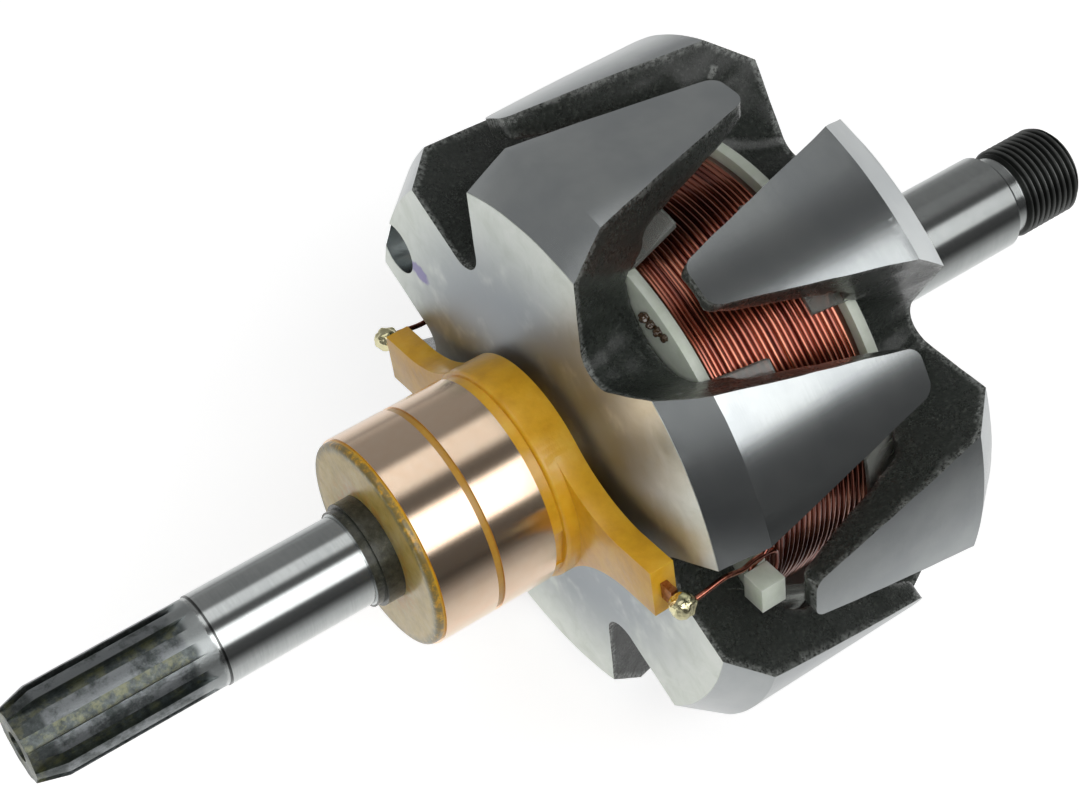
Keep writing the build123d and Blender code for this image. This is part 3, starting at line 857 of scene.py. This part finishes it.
def blob(name, centre, size, lump, seed, slot_name, look, *replaced, squash=(1, 1, 1)):
    """Rounded lump of solder or varnish."""
    build = bmesh.new()
    bmesh.ops.create_icosphere(build, subdivisions=4, radius=1.0)
    offset = Vector((seed * 3.1, seed * 1.7, 0.3))
    for v in build.verts:
        direction = v.co.normalized()
        swell = noise.noise(direction * 1.6 + offset) + 0.4 * noise.noise(direction * 4 + offset)
        r = size * (1.0 + lump * swell)
        v.co = Vector((direction.x * squash[0], direction.y * squash[1], direction.z * squash[2])) * r * MM
        v.co += Vector(centre) * MM
    for face in build.faces:
        face.smooth = True
    mesh = bpy.data.meshes.new(name)
    build.to_mesh(mesh)
    build.free()
    obj = new_piece(name, mesh, slot_name, *replaced)
    dress(obj, look)
    return obj


def wire_along(name, points, radius, look, *replaced):
    data = bpy.data.curves.new(name, "CURVE")
    data.dimensions = "3D"
    data.bevel_depth = radius * MM
    data.bevel_resolution = 4
    data.resolution_u = 8
    data.use_fill_caps = True
    spline = data.splines.new("NURBS")
    spline.points.add(len(points) - 1)
    for point, place in zip(spline.points, points):
        point.co = (place[0] * MM, place[1] * MM, place[2] * MM, 1.0)
    spline.order_u = 3
    spline.use_endpoint_u = True
    source = bpy.data.objects.new(name + "_path", data)
    bpy.context.scene.collection.objects.link(source)
    graph = bpy.context.evaluated_depsgraph_get()
    mesh = bpy.data.meshes.new_from_object(source.evaluated_get(graph))
    mesh.name = name
    bpy.data.objects.remove(source)
    mesh.polygons.foreach_set("use_smooth", [True] * len(mesh.polygons))
    obj = new_piece(name, mesh, "enamelled_copper", *replaced)
    dress(obj, look)
    return obj


def around(x, reach, side, angle):
    """Point from a station, a reach along an angle and a step across it, in millimetres."""
    c, s = math.cos(math.radians(angle)), math.sin(math.radians(angle))
    return (x, reach * c - side * s, reach * s + side * c)


def shape_posts(mesh):
    """Trim the heads of the two winding posts, and set both posts a little to one side."""
    for turn in (0.0, -180.0):
        angle = math.radians(POST_ANGLE + turn)
        c, s = math.cos(angle), math.sin(angle)
        for v in mesh.vertices:
            x, y, z = v.co / MM
            reach = y * c + z * s
            side = -y * s + z * c
            if reach < 34.0 or abs(side) > 3.1 or x > -46.0:
                continue
            if reach > 40.2:
                x = -49.9 + (x + 49.1) * 0.78
                reach = 40.4 + (reach - 40.4) * 0.80
                side = side * 0.80 + POST_SIDE
            elif reach > 38.3:
                side += POST_SIDE
            v.co = Vector((x, reach * c - side * s, reach * s + side * c)) * MM
    mesh.update()


def leads():
    """The two wire ends: from the solder along the arm, round a post and into the coil."""
    look = enamel_wire("enamel_lead")
    for number, turn in (("1", 0.0), ("2", -180.0)):
        arm, post = ARM_ANGLE + turn, POST_ANGLE + turn
        out = [around(TAB_X + 0.9, 41.4, 0.0, arm), around(-60.2, 41.6, -0.5, arm),
               around(-56.0, 41.5, -1.2, arm), around(-52.6, 40.9, -1.6, post),
               around(-50.4, 40.2, -1.4, post), around(-48.2, 39.7, -0.8, post),
               around(-45.4, 39.5, -0.3, post), around(-44.9, 39.3, 2.4, post),
               around(-45.3, 39.2, 5.0, post), around(-47.3, 39.1, 5.2, post),
               around(-49.6, 39.1, 4.9, post), around(-50.0, 39.2, 2.4, post),
               around(-49.6, 39.5, 0.0, post), around(-47.5, 39.8, -0.6, post),
               around(-45.0, 38.8, -3.4, post), around(-43.9, 37.4, -5.0, post),
               around(-43.4, 37.2, -8.0, post)]
        wire_along("winding_lead_wrapped_" + number, out, 0.45, look, "winding_lead_" + number)


threaded_shaft()
field_winding()
leads()

# Looks of the remaining pieces
band = copper_band()
dress(nodes["front_slip_ring"], band)
dress(nodes["rear_slip_ring"], band)
moulding = new_piece("slip_ring_moulding_soft", soft_copy("slip_ring_moulding", 0.32, 3), "ochre_moulding",
                     "slip_ring_moulding")
dress(moulding, ochre_resin())
spool_mesh = soft_copy("bobbin", 0.22, 2)
shape_posts(spool_mesh)
spool = new_piece("bobbin_soft", spool_mesh, "nylon", "bobbin")
dress(spool, nylon())
spool.data.materials.append(clear_nylon())
for polygon in spool.data.polygons:
    middle = polygon.center / MM
    reach = math.hypot(middle.y, middle.z)
    if reach > FLANGE_R and COIL_X[0] - 0.15 < middle.x < COIL_X[1] + 0.15:
        polygon.material_index = 1
dress(nodes["slip_ring_bush"], black_bush())
bead = solder_metal()
tab = tab_copper()
varnish = varnish_drop()
for number, turn in (("1", 0.0), ("2", -180.0)):
    centre = around(TAB_X, BEAD_REACH, 0.0, ARM_ANGLE + turn)
    blob("solder_bead_" + number, centre, 2.0, 0.16, 3 + turn, "solder", bead, "solder_joint_" + number,
         squash=(1.05, 1.0, 1.0))
    dress(nodes["terminal_tab_" + number], tab)
# station, reach, angle and size of each drip on the front flange
drips = [(-48.5, 34.6, 104.5, 0.95), (-48.6, 34.9, 107.0, 0.75), (-48.5, 35.3, 109.4, 0.8),
         (-48.6, 36.0, 111.8, 0.6), (-48.5, 35.0, 232.0, 0.7), (-48.5, 34.6, 47.0, 0.8),
         (-48.5, 35.2, 291.0, 0.6)]
for number, (x, reach, angle, size) in enumerate(drips):
    blob("varnish_drip_%d" % number, around(x, reach, 0.0, angle), size, 0.35, number, "nylon", varnish)
dress(nodes["pole_core"], core_steel())
